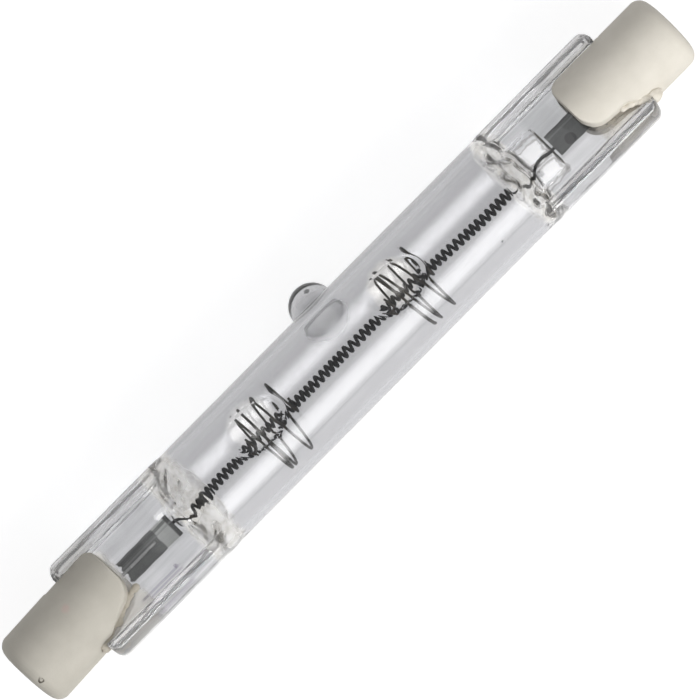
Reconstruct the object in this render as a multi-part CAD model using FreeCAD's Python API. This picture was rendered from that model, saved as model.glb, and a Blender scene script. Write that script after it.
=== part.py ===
import FreeCAD, Part
import math
import os
from collections import namedtuple

# Linear halogen lamp, double ended, in millimetres.
# +X runs along the lamp to its right-hand end, +Z is up, and the origin is the middle of the lamp's axis.
# The lamp lies on the bottom of its tube and on its sealed exhaust tip, with the flat ends level.
# Distances from the middle towards an end are positive for both ends.

# Lamp
contact_spacing = 74.9
contact_recess_depth = 1.7

# Quartz tube
tube_radius = 5.0
tube_wall = 0.7

# Flattened ends of the tube
left_shoulder = 16.8
right_shoulder = 18.8
shoulder_length = 1.9
shoulder_round = 1.2
shoulder_skim = 0.05
shoulder_foot = 0.5
left_pinch_end = 31.8
right_pinch_end = 33.3
left_pinch_skew = 0.4
right_pinch_skew = 0.0
pinch_spread = 0.05
pinch_corner_round = 0.9
web_thickness = 2.5
rim_thickness = 4.0
rim_draft = 0.15
rim_round = 0.55

# Unsealed pocket round each filament leg
pocket_thickness = 0.7
pocket_mouth_thickness = 1.6
pocket_width = 5.0
pocket_round = 1.2
pocket_to_foil = 0.2

# Exhaust tip
tip_x = 0.47
tip_radius = 2.09
tip_centre_distance = 6.25
tip_dome_steps = 4
tip_channel_radius = 0.6
tip_channel_end_radius = 0.3
tip_channel_end = 6.2

# Dents that hold the filament supports
left_dent_x = -9.6
right_dent_x = 7.15
dent_radius = 5.0
dent_depth = 0.7
dent_span_degrees = 34.0
dent_steps = 3

# Filament
filament_wire_radius = 0.165
coil_radius = 0.56
coil_left_end = 18.7
coil_right_end = 20.0
coil_turns = 63
coil_steps = 7
filament_sides = 4
leg_overlap = 0.8
leg_flattening = 0.4
leg_bow_share = 0.16
leg_turn_share = 0.4
left_leg_bow = 0.1
right_leg_bow = 0.45
left_weld_shift = 0.0
right_weld_shift = -0.25

# Filament supports: the loops start at a crest and step along x from crest to trough to crest, by shares
# of the pitch
left_first_crest = -11.16
right_first_crest = 5.58
left_loop_shares = (0.585, 0.077, 0.23, 0.892, 0.546, 0.8)
right_loop_shares = (0.977, -0.654, 1.192, 0.0, 1.238, 0.069)
support_wire_radius = 0.11
support_sides = 4
support_clearance = 0.045
grip_turns = 2.25
grip_steps = 8
grip_pitch = 0.26
rise_turns = 0.25
rise_steps = 20
rise_advance = 0.3
loop_clearance = 0.14
loop_shift = -0.37
loop_steps = 12
loop_pitch = 1.3

# Sealing foils and outer leads
foil_length = 5.5
foil_width = 2.25
foil_thickness = 0.05
left_foil_inner = 20.9
right_foil_inner = 24.5
left_foil_y = 0.0
right_foil_y = -0.3
lead_radius = 0.22
lead_sides = 6
left_lead_overlap = 3.3
right_lead_overlap = 1.8

# Ceramic caps
cap_radius = 3.65
cap_edge_round = 0.9
cap_mouth_round = 0.25
turned_round_steps = 3
slot_clearance = 0.15
slot_end_clearance = 0.5
cheek_clearance = 0.12
left_tongue_tip = 27.3
right_tongue_tip = 27.5
tongue_far_edge = 3.3
tongue_far_round = 1.4
left_tongue_near_edge = 2.0
right_tongue_near_edge = 2.3
tongue_near_round = 1.9
left_neck_setback = 1.5
right_neck_setback = 1.8
left_neck_edge = 3.05
right_neck_edge = 2.62
neck_round = 1.5
tongue_root_margin = 0.15
lead_hole_clearance = 0.12

# Contacts
recess_radius = 2.1
contact_radius = 1.75
contact_thickness = 0.5
contact_dome = 0.25
contact_crown_share = 0.6
contact_clearance = 0.05

# Cement
cement_setback = 0.4
left_bead_radius = 0.5
right_bead_radius = 0.9
bead_height = 0.8
bead_inset = 0.35

# Sizes worked out from the ones above
bore_radius = tube_radius - tube_wall
web_half = web_thickness / 2
rim_half = rim_thickness / 2
slot_half = web_half + slot_clearance
cheek_half_width = math.sqrt(cap_radius ** 2 - slot_half ** 2)
rim_inner = cheek_half_width + cheek_clearance
pinch_half_width = tube_radius + pinch_spread
coil_mean_radius = coil_radius - filament_wire_radius
grip_radius = coil_radius + support_wire_radius + support_clearance
loop_radius = bore_radius - dent_depth - support_wire_radius - loop_clearance
contact_face = contact_spacing / 2
cap_end = contact_face + contact_recess_depth
contact_rim = contact_face - contact_dome
contact_back = contact_rim - contact_thickness
foil_half = foil_thickness / 2
leg_depth = foil_half + filament_wire_radius * (1 - leg_flattening)
lead_height = foil_half + lead_radius * math.cos(math.pi / lead_sides)
tip_angle = math.asin((tube_radius - tip_radius) / tip_centre_distance)
tip_direction = FreeCAD.Vector(0, math.cos(tip_angle), -math.sin(tip_angle))

# How far cutting shapes run past what they cut
overshoot = 1.0

X_AXIS = FreeCAD.Vector(1, 0, 0)
Y_AXIS = FreeCAD.Vector(0, 1, 0)
Z_AXIS = FreeCAD.Vector(0, 0, 1)
ORIGIN = FreeCAD.Vector(0, 0, 0)

End = namedtuple("End", [
    "name", "side", "shoulder", "pinch_end", "pinch_skew", "coil_end", "leg_bow", "weld_shift",
    "foil_inner", "foil_y", "lead_overlap", "tongue_tip", "tongue_near_edge", "neck_setback", "neck_edge",
    "bead_radius",
])
ENDS = (
    End("left", -1, left_shoulder, left_pinch_end, left_pinch_skew, coil_left_end, left_leg_bow,
        left_weld_shift, left_foil_inner, left_foil_y, left_lead_overlap, left_tongue_tip,
        left_tongue_near_edge, left_neck_setback, left_neck_edge, left_bead_radius),
    End("right", 1, right_shoulder, right_pinch_end, right_pinch_skew, coil_right_end, right_leg_bow,
        right_weld_shift, right_foil_inner, right_foil_y, right_lead_overlap, right_tongue_tip,
        right_tongue_near_edge, right_neck_setback, right_neck_edge, right_bead_radius),
)


def in_plan(u, v):
    return FreeCAD.Vector(u, v, 0)


def in_side_view(u, v):
    return FreeCAD.Vector(u, 0, v)


def in_section(u, v):
    return FreeCAD.Vector(0, u, v)


def outline(corners, place, steps=0):
    """Closed wire through corners (u, v, radius).

    A corner with a radius is rounded by an arc, or by that many chords of it where steps isn't 0.
    """
    points = [place(u, v) for u, v, _ in corners]
    rounds = {}
    stops = []
    for i, (_, _, radius) in enumerate(corners):
        corner = points[i]
        back = points[i - 1] - corner
        ahead = points[(i + 1) % len(points)] - corner
        if radius == 0:
            stops.append((corner, corner))
            continue
        half_angle = back.getAngle(ahead) / 2
        reach = min(radius / math.tan(half_angle), 0.48 * back.Length, 0.48 * ahead.Length)
        fitted = reach * math.tan(half_angle)
        back.normalize()
        ahead.normalize()
        bisector = back + ahead
        bisector.normalize()
        centre = corner + bisector * (fitted / math.sin(half_angle))
        start = corner + back * reach
        end = corner + ahead * reach
        if steps:
            rounds[i] = chords(centre, start, end, steps)
        else:
            rounds[i] = [Part.Arc(start, centre - bisector * fitted, end).toShape()]
        stops.append((start, end))
    loop = []
    for i, (_, leave) in enumerate(stops):
        loop.extend(rounds.get(i, []))
        loop.append(Part.makeLine(leave, stops[(i + 1) % len(stops)][0]))
    return Part.Wire(loop)


def chords(centre, start, end, steps):
    """Equal straight chords of the arc from start to end round a centre."""
    first = start - centre
    last = end - centre
    sweep = first.getAngle(last)
    points = []
    for k in range(steps + 1):
        turned = k / steps * sweep
        spoke = first * math.sin(sweep - turned) + last * math.sin(turned)
        points.append(centre + spoke / math.sin(sweep))
    return [Part.makeLine(a, b) for a, b in zip(points, points[1:])]


def extrude(corners, place, start, length):
    """Solid of an outline, moved by start and extruded along length."""
    face = Part.Face(outline(corners, place))
    face.translate(start)
    return face.extrude(length)


def turn(corners):
    """Solid of a half outline, turned round the lamp's axis."""
    return Part.Face(outline(corners, in_side_view, turned_round_steps)).revolve(ORIGIN, X_AXIS, 360)


def turn_about(start, axis, across, half):
    """Solid of a half outline (distance from an axis, height along it), turned round that axis."""
    points = [start + across * u + axis * v for u, v in half]
    return Part.Face(Part.makePolygon(points + points[:1])).revolve(start, axis, 360)


def cylinder(radius, start, end):
    """Cylinder on the lamp's axis between two x values."""
    return Part.makeCylinder(radius, abs(end - start), FreeCAD.Vector(min(start, end), 0, 0), X_AXIS)


def both_sides(half):
    """Corners of a symmetric outline from its upper half, walked from left to right."""
    return half + [(u, -v, radius) for u, v, radius in reversed(half)]


# Wires


def wire_rings(path, radius, sides, facing):
    """Section corners of a wire at each point of its path, on the mitre plane between its two runs."""
    heading = path[1] - path[0]
    heading.normalize()
    across = facing - heading * facing.dot(heading)
    across.normalize()
    upward = heading.cross(across)
    angles = [2 * math.pi * k / sides for k in range(sides)]
    ring = [path[0] + across * (radius * math.cos(a)) + upward * (radius * math.sin(a)) for a in angles]
    rings = [ring]
    for i in range(1, len(path)):
        run = path[i] - path[i - 1]
        run.normalize()
        mitre = run
        if i + 1 < len(path):
            next_run = path[i + 1] - path[i]
            next_run.normalize()
            mitre = run + next_run
        ring = [p + run * ((path[i] - p).dot(mitre) / run.dot(mitre)) for p in ring]
        rings.append(ring)
    return rings


def ring_solid(rings):
    """Closed solid through a row of rings."""

    def facet(corners):
        return Part.Face(Part.makePolygon(corners + corners[:1]))

    faces = [facet(rings[0]), facet(rings[-1])]
    for near, far in zip(rings, rings[1:]):
        for k in range(len(near)):
            faces.append(facet([near[k], near[k - 1], far[k - 1], far[k]]))
    solid = Part.Solid(Part.Shell(faces))
    if solid.Volume < 0:
        solid.reverse()
    return solid


def leg_path(end):
    """Points of a filament leg, from the coil out to its weld under the foil."""
    coil_end_x = end.side * end.coil_end
    foil_x = end.side * end.foil_inner
    gap = foil_x - coil_end_x
    weld_y = end.foil_y + end.weld_shift
    bow_y = -coil_mean_radius - end.leg_bow
    before_glass = foil_x - end.side * 2 * pocket_to_foil
    return [
        FreeCAD.Vector(coil_end_x + gap * leg_bow_share, bow_y, 0),
        FreeCAD.Vector(coil_end_x + gap * leg_turn_share, (bow_y + weld_y) / 2, -leg_depth / 2),
        FreeCAD.Vector(before_glass, weld_y, -leg_depth),
        FreeCAD.Vector(foil_x + end.side * leg_overlap, weld_y, -leg_depth),
    ]


def filament_rings():
    """Rings of the whole filament wire: left leg, coil, right leg."""
    left, right = ENDS
    steps = coil_turns * coil_steps
    coil_length = coil_right_end + coil_left_end
    coil = []
    for i in range(steps + 1):
        angle = 2 * math.pi * i / coil_steps
        x = -coil_left_end + coil_length * i / steps
        across = FreeCAD.Vector(0, -math.cos(angle), math.sin(angle))
        coil.append(X_AXIS * x + across * coil_mean_radius)
    path = leg_path(left)[::-1] + coil + leg_path(right)
    return wire_rings(path, filament_wire_radius, filament_sides, Z_AXIS)


def spiral(turns, steps_per_turn, first_radius, last_radius, places):
    """Points round the lamp's axis from one turn to another, spread evenly over places along x."""
    first, last = turns
    steps = round((last - first) * steps_per_turn)
    points = []
    for i in range(steps + 1):
        share = i / steps
        ease = share * share * (3 - 2 * share)
        radius = first_radius + (last_radius - first_radius) * ease
        spread = (radius - grip_radius) / (loop_radius - grip_radius)
        angle = 2 * math.pi * (first + (last - first) * share)
        y = radius * math.cos(angle) + loop_shift * spread
        span = min(i * (len(places) - 1) // steps, len(places) - 2)
        part = share * (len(places) - 1) - span
        x = places[span] + (places[span + 1] - places[span]) * part
        points.append(FreeCAD.Vector(x, y, radius * math.sin(angle)))
    return points


def filament_support(first_crest, shares):
    """Spiral wire: tight turns on the filament, wide loops against the tube, tight turns again."""
    marks = [first_crest]
    for share in shares:
        marks.append(marks[-1] + share * loop_pitch)
    loop_end = len(shares) / 2
    grip_length = grip_turns * grip_pitch
    start = marks[0] - rise_advance
    stop = marks[-1] + rise_advance
    grip_first = (-rise_turns - grip_turns, -rise_turns)
    rise = (-rise_turns, 0)
    loops = (0, loop_end)
    fall = (loop_end, loop_end + rise_turns)
    grip_last = (loop_end + rise_turns, loop_end + rise_turns + grip_turns)
    path = spiral(grip_first, grip_steps, grip_radius, grip_radius, (start - grip_length, start))
    path += spiral(rise, rise_steps, grip_radius, loop_radius, (start, marks[0]))[1:]
    path += spiral(loops, loop_steps, loop_radius, loop_radius, marks)[1:]
    path += spiral(fall, rise_steps, loop_radius, grip_radius, (marks[-1], stop))[1:]
    path += spiral(grip_last, grip_steps, grip_radius, grip_radius, (stop, stop + grip_length))[1:]
    return ring_solid(wire_rings(path, support_wire_radius, support_sides, X_AXIS))


# Sealing foils and outer leads


def foil(end):
    inner = end.side * end.foil_inner
    outer = end.side * (end.foil_inner + foil_length)
    corner = FreeCAD.Vector(min(inner, outer), end.foil_y - foil_width / 2, -foil_half)
    return Part.makeBox(foil_length, foil_width, foil_thickness, corner)


def lead_bar(end, radius, inner, outer):
    """Straight bar of the lead's section on the lead's line, with a flat towards the foil."""
    path = [FreeCAD.Vector(end.side * at, 0, lead_height) for at in (inner, outer)]
    return ring_solid(wire_rings(path, radius, lead_sides, Y_AXIS))


def outer_lead(end):
    """Wire that lies flat on the foil and runs to the back of the contact."""
    inner = end.foil_inner + foil_length - end.lead_overlap
    return lead_bar(end, lead_radius, inner, contact_back)


# Quartz envelope


def pinch_plan(end):
    """Flattened end seen from above: tapered out of the tube, with rounded, slightly skewed outer corners."""
    start = end.side * (end.shoulder + shoulder_foot)
    full = end.side * (end.shoulder + shoulder_length + shoulder_foot)
    narrow = pinch_half_width - rim_round
    end_up = end.side * (end.pinch_end - end.pinch_skew)
    end_down = end.side * (end.pinch_end + end.pinch_skew)
    return [
        (start, narrow, 0), (full, pinch_half_width, 0), (end_up, pinch_half_width, pinch_corner_round),
        (end_down, -pinch_half_width, pinch_corner_round), (full, -pinch_half_width, 0), (start, -narrow, 0),
    ]


def pinch(end):
    """Flattened end: a flat web with a thick rounded rim along each edge."""
    section = both_sides([
        (-pinch_half_width, rim_half, rim_round),
        (-rim_inner - rim_draft, rim_half, 0),
        (-rim_inner, web_half, 0),
        (rim_inner, web_half, 0),
        (rim_inner + rim_draft, rim_half, 0),
        (pinch_half_width, rim_half, rim_round),
    ])
    reach = end.pinch_end + end.pinch_skew + overshoot
    bar = extrude(section, in_section, ORIGIN, FreeCAD.Vector(end.side * reach, 0, 0))
    height = 2 * (rim_half + overshoot)
    plan = extrude(pinch_plan(end), in_plan, Z_AXIS * (-height / 2), Z_AXIS * height)
    return bar.common(plan)


def tip_solid(half):
    """Solid turned round the exhaust tip's axis, with heights counted from the lamp's axis."""
    return turn_about(X_AXIS * tip_x, tip_direction, X_AXIS, half)


def exhaust_tip():
    """Drop of solid glass where the exhaust tube was sealed off."""
    half = [(0, bore_radius), (tip_radius, bore_radius)]
    for k in range(tip_dome_steps + 1):
        rise = math.pi / 2 * k / tip_dome_steps
        half.append((tip_radius * math.cos(rise), tip_centre_distance + tip_radius * math.sin(rise)))
    return tip_solid(half)


def tip_channel():
    """Tapered end of the exhaust hole, closed inside the tip."""
    start = bore_radius / 2
    return tip_solid([
        (0, start),
        (tip_channel_radius, start),
        (tip_channel_end_radius, tip_channel_end),
        (0, tip_channel_end),
    ])


def tube_with_tip():
    """Round tube, long enough for both shoulders, with the exhaust tip on it."""
    left, right = ENDS
    foot = shoulder_length + overshoot
    return cylinder(tube_radius, -left.shoulder - foot, right.shoulder + foot).fuse(exhaust_tip())


def shoulder_profile():
    """Side view of the tube's outside, flattened to the web at both ends."""
    left, right = ENDS
    top = tube_radius + shoulder_skim
    foot = shoulder_length + overshoot
    return both_sides([
        (-left.shoulder - foot, web_half, 0),
        (-left.shoulder - shoulder_length, web_half, shoulder_foot),
        (-left.shoulder, top, shoulder_round),
        (right.shoulder, top, shoulder_round),
        (right.shoulder + shoulder_length, web_half, shoulder_foot),
        (right.shoulder + foot, web_half, 0),
    ])


def dents(radius):
    """Round-nosed stamps that press into the top of the tube over each support."""
    centre_height = tube_radius + dent_radius - dent_depth
    half = []
    for k in range(dent_steps + 1):
        angle = math.radians(dent_span_degrees * k / dent_steps)
        half.append((radius * math.sin(angle), centre_height - radius * math.cos(angle)))
    half += [(half[-1][0], centre_height), (0, centre_height)]
    places = [X_AXIS * x for x in (left_dent_x, right_dent_x)]
    return [turn_about(place, Z_AXIS, X_AXIS, half) for place in places]


def cavity():
    """Space inside the tube, closing to a flat pocket round each filament leg."""
    left, right = ENDS
    top = bore_radius + overshoot
    mouth = pocket_mouth_thickness / 2
    tail = pocket_thickness / 2
    run_in = shoulder_length - tube_wall / 2
    left_end = -(left.foil_inner - pocket_to_foil)
    right_end = right.foil_inner - pocket_to_foil
    side = both_sides([
        (left_end, tail, 0),
        (-left.shoulder - shoulder_length, mouth, 0),
        (-left.shoulder - shoulder_length + run_in + tube_wall, top, 0),
        (right.shoulder + shoulder_length - run_in - tube_wall, top, 0),
        (right.shoulder + shoulder_length, mouth, 0),
        (right_end, tail, 0),
    ])
    plan = both_sides([
        (left_end, pocket_width / 2, pocket_round),
        (-left.shoulder - shoulder_length, pocket_width / 2, pocket_round),
        (-left.shoulder, top, 0),
        (right.shoulder, top, 0),
        (right.shoulder + shoulder_length, pocket_width / 2, pocket_round),
        (right_end, pocket_width / 2, pocket_round),
    ])
    bore = cylinder(bore_radius, left_end - overshoot, right_end + overshoot)
    side_solid = extrude(side, in_side_view, Y_AXIS * -top, Y_AXIS * (2 * top))
    plan_solid = extrude(plan, in_plan, Z_AXIS * -top, Z_AXIS * (2 * top))
    return bore.common(side_solid).common(plan_solid).cut(dents(dent_radius + tube_wall))


def quartz_envelope(rings):
    """Tube, pinched ends, tip and dents in one piece, with seats for the foils, leads and filament legs."""
    top = tube_radius + tip_centre_distance + tip_radius
    flattened = extrude(shoulder_profile(), in_side_view, Y_AXIS * -top, Y_AXIS * (2 * top))
    body = tube_with_tip().common(flattened)
    body = body.fuse([pinch(end) for end in ENDS]).removeSplitter()
    body = body.cut(dents(dent_radius))
    legs = [ring_solid(rings[:2]), ring_solid(rings[-2:])]
    seats = [foil(end) for end in ENDS] + [outer_lead(end) for end in ENDS]
    return body.cut([cavity().fuse(tip_channel())] + legs + seats)


# Ceramic caps, contacts and cement


def tongue_plan(end):
    """Cap seen from above: full width over the contact, thumb-shaped and narrower on -Y over the pinch."""
    tip = end.side * end.tongue_tip
    root = end.side * (end.pinch_end + end.pinch_skew)
    neck = root - end.side * end.neck_setback
    outer = end.side * (cap_end + overshoot)
    root_edge = cap_radius + tongue_root_margin
    corners = [
        (outer, cap_radius + overshoot, 0),
        (root, root_edge, 0),
        (tip, tongue_far_edge, tongue_far_round),
        (tip, -end.tongue_near_edge, tongue_near_round),
        (neck, -end.neck_edge, neck_round),
        (root, -root_edge, 0),
        (outer, -cap_radius - overshoot, 0),
    ]
    height = 2 * (cap_radius + overshoot)
    return extrude(corners, in_plan, Z_AXIS * (-height / 2), Z_AXIS * height)


def slot(end, start):
    """Flat slot across the cap, from start to just past the end of the pinch."""
    bottom = end.pinch_end + end.pinch_skew + slot_end_clearance
    length = bottom - start
    low = min(end.side * start, end.side * bottom)
    width = 2 * (cap_radius + overshoot)
    return Part.makeBox(length, width, 2 * slot_half, FreeCAD.Vector(low, -width / 2, -slot_half))


def ceramic_cap(end):
    """Slotted ceramic cylinder with a recess for the contact and a hole for the lead."""
    side = end.side
    body = turn([
        (side * end.tongue_tip, 0, 0),
        (side * end.tongue_tip, cap_radius, 0),
        (side * cap_end, cap_radius, cap_edge_round),
        (side * cap_end, recess_radius, cap_mouth_round),
        (side * contact_face, recess_radius, 0),
        (side * contact_face, contact_radius + contact_clearance, 0),
        (side * contact_back, contact_radius + contact_clearance, 0),
        (side * contact_back, 0, 0),
    ])
    hole = lead_bar(end, lead_radius + lead_hole_clearance, end.pinch_end, contact_face)
    return body.common(tongue_plan(end)).cut([slot(end, end.tongue_tip - overshoot), hole])


def contact(end):
    """Low domed metal button, seated behind the recess and welded to the lead."""
    middle_rise = contact_dome * (1 - contact_crown_share ** 2)
    return turn([
        (end.side * contact_back, 0, 0),
        (end.side * contact_back, contact_radius, 0),
        (end.side * contact_rim, contact_radius, 0),
        (end.side * (contact_rim + middle_rise), contact_radius * contact_crown_share, 0),
        (end.side * contact_face, 0, 0),
    ])


def cement(end):
    """Cement that fills the cap's slot round the pinch, with a bead squeezed out at one corner."""
    bottom = end.pinch_end + end.pinch_skew + slot_end_clearance
    filled = slot(end, end.tongue_tip + cement_setback)
    filled = filled.common(cylinder(cap_radius, 0, end.side * (bottom + overshoot))).common(tongue_plan(end))
    bead_x = end.side * (bottom - slot_end_clearance / 2)
    bead = Part.makeSphere(end.bead_radius, FreeCAD.Vector(bead_x, -cap_radius + bead_inset, bead_height))
    bead = bead.cut(ceramic_cap(end))
    return filled.fuse(bead).cut([pinch(end), outer_lead(end)]).removeSplitter()


def build():
    """Shapes of all nodes by name."""
    rings = filament_rings()
    shapes = {
        "quartz_envelope": quartz_envelope(rings),
        "filament": ring_solid(rings).cut([foil(end) for end in ENDS]),
        "filament_support_left": filament_support(left_first_crest, left_loop_shares),
        "filament_support_right": filament_support(right_first_crest, right_loop_shares),
    }
    for end in ENDS:
        shapes["foil_" + end.name] = foil(end)
        shapes["outer_lead_" + end.name] = outer_lead(end)
        shapes["ceramic_cap_" + end.name] = ceramic_cap(end)
        shapes["contact_" + end.name] = contact(end)
        shapes["cement_" + end.name] = cement(end)
    return shapes


os.makedirs("parts", exist_ok=True)
for node, shape in build().items():
    shape.exportStep("parts/" + node + ".step")
    print(node, shape.ShapeType, len(shape.Solids), shape.isValid(), round(shape.Volume, 4))
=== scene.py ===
import math
from collections import namedtuple

import bmesh
import bpy
import numpy as np
from mathutils import Matrix, Vector


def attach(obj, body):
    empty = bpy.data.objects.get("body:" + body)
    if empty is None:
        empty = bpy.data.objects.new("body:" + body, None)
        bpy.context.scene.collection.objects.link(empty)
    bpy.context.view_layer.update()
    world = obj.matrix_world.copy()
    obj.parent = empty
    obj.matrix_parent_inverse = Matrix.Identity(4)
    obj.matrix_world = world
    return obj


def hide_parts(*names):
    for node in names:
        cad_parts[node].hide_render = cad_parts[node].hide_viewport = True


# Linear halogen lamp on a white table. Lengths are in millimetres and become metres when a mesh is placed.
# +X runs along the lamp to its right-hand end, +Z is up, and the origin is the middle of the lamp's axis.

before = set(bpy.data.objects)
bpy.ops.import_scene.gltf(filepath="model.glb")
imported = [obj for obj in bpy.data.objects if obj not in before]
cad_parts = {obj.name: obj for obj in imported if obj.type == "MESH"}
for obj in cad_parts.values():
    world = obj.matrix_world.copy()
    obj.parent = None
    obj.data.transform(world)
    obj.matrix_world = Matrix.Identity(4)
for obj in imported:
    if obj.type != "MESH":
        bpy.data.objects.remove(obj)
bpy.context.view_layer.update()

MM = 0.001

# Quartz tube and its flattened ends
tube_radius = 5.0
bore_radius = 4.3
shoulder_bow = 0.9
shoulder_crinkle = 0.036
shoulder_wavers = (0.12, 0.05)
smooth_strip_y = -0.5
smooth_strip_half = 1.1
shoulder_blend = 1.2
shoulder_inside_blend = 0.8
underside_turn = 1.7
tube_wave = 0.02
pinch_half_width = 5.05
pinch_widening = 2.4
pinch_corner_round = 0.9
skew_length = 3.0
web_half = 1.25
web_wave = 0.02
rim_half = 2.0
rim_inner = 3.45
rim_draft = 0.35
rim_edge = 0.6
rim_ripple = 0.016
rim_ripple_pitch = 0.34
rim_blend = 1.3
notch_depth = 0.14
notch_length = 0.35
notch_at = 0.5
pocket_mouth_half = 0.8
pocket_tail_half = 0.35
pocket_round = 0.8
pocket_closing = 0.3
pocket_wave = 0.12
pocket_blend = 0.2
pocket_to_foil = 0.2
least_gap = 0.03

# Spacing of the points on the quartz: along the lamp in millimetres, round it in degrees
plain_step = 0.4
dent_step = 0.18
dent_zone = 3.2
shoulder_step = 0.11
end_step = 0.1
round_step = 3.0
rim_wall_step = 1.2
rim_wall_angles = (40.0, 52.0)

# Exhaust tip, which leans down far enough to touch the table
tip_x = 0.47
tip_radius = 2.09
tip_centre_distance = 6.25
tip_root_distance = 4.5
tip_foot = 0.1
tip_neck = 0.3
tip_hollow_radius = 1.97
tip_hollow_nose = 7.95
tip_pull = 0.1
tip_pull_half_length = 1.9
tip_pull_half_breadth = 1.3
tip_pull_y = 2.3
tip_down = math.asin((tube_radius - tip_radius) / tip_centre_distance)
tip_axis = Vector((0.0, math.cos(tip_down), -math.sin(tip_down)))
tip_start = Vector((tip_x, 0.0, 0.0))

# Dents over the filament supports
dent_places = (-10.1, 6.65)
dent_radius = 3.8
dent_depth = 0.85
dent_stretch = 1.15
dent_lip = 0.05

# Filament and its supports
filament_wire_radius = 0.15
coil_mean_radius = 0.385
coil_left_end = 18.7
coil_right_end = 20.0
coil_turns = 63
coil_steps = 20
coil_drifts = (0.12, 0.08)
left_sag = 0.25
left_sag_length = 1.6
right_sag = 0.38
right_sag_reach = (8.0, 17.0)
leg_dip_share = 0.16
leg_arch_share = 0.62
leg_arch_depth_share = 0.6
leg_weld = 0.8
support_wire_radius = 0.12
grip_radius = 0.67
grip_turns = 0.75
grip_pitch = 0.34
rise_turns = 0.25
rise_advance = 0.3
loop_radius = 3.35
loop_shift = -0.37
loop_pitch = 1.3
support_steps = 40

# Foils and leads
foil_width = 2.25
foil_half = 0.025
foil_rows = 40
foil_columns = 24
foil_ragged = 0.22
foil_edge_wave = 0.015
lead_radius = 0.16
lead_height = foil_half + lead_radius
lead_steps = 24

# Ceramic caps, cement and contacts
ceramic_grain = 0.09
ceramic_smoothing = 8
cement_grain = 0.07
cement_smoothing = 4
crumb_shift_x = 0.06
crumb_shift_y = 0.1
crumb_swing = 0.09
crumb_growth = 0.1
crumb_sinking = 0.45
cap_pivot = 34.5
cap_radius = 3.65
cap_end = 39.15
cap_round_start = 36.6
cap_end_short = 0.2
cap_end_round = 0.45
contact_face = 37.45
contact_rim = 37.2
contact_back = 36.7
contact_radius = 1.75
contact_back_round = 0.08
contact_rim_round = 0.06
weld_mark_depth = 0.05
weld_mark_radius = 0.3

# Camera and table
table_height = -5.0
table_reach = 3000.0
table_glow = 0.70
room_brightness = 0.37
room_brightness_in_quartz = 0.75
light_steps = (1.0, 0.75, 0.5)
camera_tilt_degrees = 12.5
image_turn_degrees = 45.28
camera_distance = 500.0
view_width = 59.5
aim_right = 0.165
aim_up = -0.032
sensor_width = 36.0

End = namedtuple("End", [
    "name", "side", "shoulder", "shoulder_length", "shoulder_clearness", "cloud_reach", "pinch_end", "skew",
    "coil_end", "dip_y", "arch_y", "weld_y", "pocket_half", "foil_inner", "foil_y", "foil_length",
    "lead_overlap", "cap_turn", "crumbs", "crumb_radius", "crumb_flatness", "crumb_start", "crumb_reach",
    "crumb_edge", "crumb_drop", "crumb_height",
])
LEFT = End(
    name="left", side=-1, shoulder=17.0, shoulder_length=2.5, shoulder_clearness=0.70, cloud_reach=0.7,
    pinch_end=31.8, skew=0.4, coil_end=coil_left_end, dip_y=-0.76, arch_y=-0.05, weld_y=0.15,
    pocket_half=1.0, foil_inner=20.9, foil_y=0.0, foil_length=6.1, lead_overlap=3.9, cap_turn=2.7,
    crumbs=12, crumb_radius=0.3, crumb_flatness=0.45, crumb_start=26.9, crumb_reach=3.4,
    crumb_edge=1.75, crumb_drop=1.1, crumb_height=1.45,
)
RIGHT = End(
    name="right", side=1, shoulder=19.3, shoulder_length=1.8, shoulder_clearness=0.88, cloud_reach=0.3,
    pinch_end=33.3, skew=0.0, coil_end=coil_right_end, dip_y=-0.95, arch_y=-0.28, weld_y=-0.46,
    pocket_half=2.5, foil_inner=24.5, foil_y=-0.3, foil_length=5.5, lead_overlap=1.8, cap_turn=0.0,
    crumbs=18, crumb_radius=0.25, crumb_flatness=1.0, crumb_start=30.8, crumb_reach=2.35,
    crumb_edge=2.62, crumb_drop=1.05, crumb_height=1.85,
)
ENDS = (LEFT, RIGHT)

# Each support's first crest along x, and its steps from crest to trough to crest as shares of the pitch
Support = namedtuple("Support", "name first_crest shares")
SUPPORTS = (
    Support("filament_support_left", -11.16, (0.585, 0.077, 0.23, 0.892, 0.546, 0.8)),
    Support("filament_support_right", 5.58, (0.977, -0.654, 1.192, 0.0, 1.238, 0.069)),
)

# Wires: radius, sides of the section, and how far and over what length they stray from their path
Wire = namedtuple("Wire", "radius sides unevenness uneven_length")
FILAMENT_WIRE = Wire(filament_wire_radius, 10, 0.08, 2.5)
SUPPORT_WIRE = Wire(support_wire_radius, 10, 0.07, 1.5)
LEAD_WIRE = Wire(lead_radius, 16, 0.04, 3.0)

# Areas of the glass: their ends along x, then across the lamp
Patch = namedtuple("Patch", "x_low x_high y_low y_high")
# Edges of areas: the width over which they fade, and the grain and shift that make them uneven
Edge = namedtuple("Edge", "fade grain shift", defaults=(1.0, 0.0))
# Spots on a piece: full inside the inner radius and gone at the outer one
Mark = namedtuple("Mark", "centre inner outer grain shift tint strength")
# Bands on a piece between two places on an axis
Band = namedtuple("Band", "axis low high edge tint strength")

# Zones of the glass: bare of the caps along x (paler under the caps as painted light), darker on its far
# side as painted shade, and clear over the coil
bare_glass = (-27.0, 28.0)
bare_edge = Edge(1.2, 2.0, 0.6)
tube_edge = Edge(1.6, 1.5, 0.6)
shoulder_edge = Edge(0.5, 0.9, 0.4)
shaded_far_side = (4.0, 5.2)
coil_strip = (-1.5, 0.45)

# Cells round the right leg, painted light where gas pockets look bright, in painted dark outlines
PAINTED_BRIGHT_CELLS = (Patch(22.0, 23.8, -0.1, 1.3), Patch(21.6, 23.8, -2.4, -1.0))
cell_edge = Edge(0.45, 1.1, 0.4)
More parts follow.
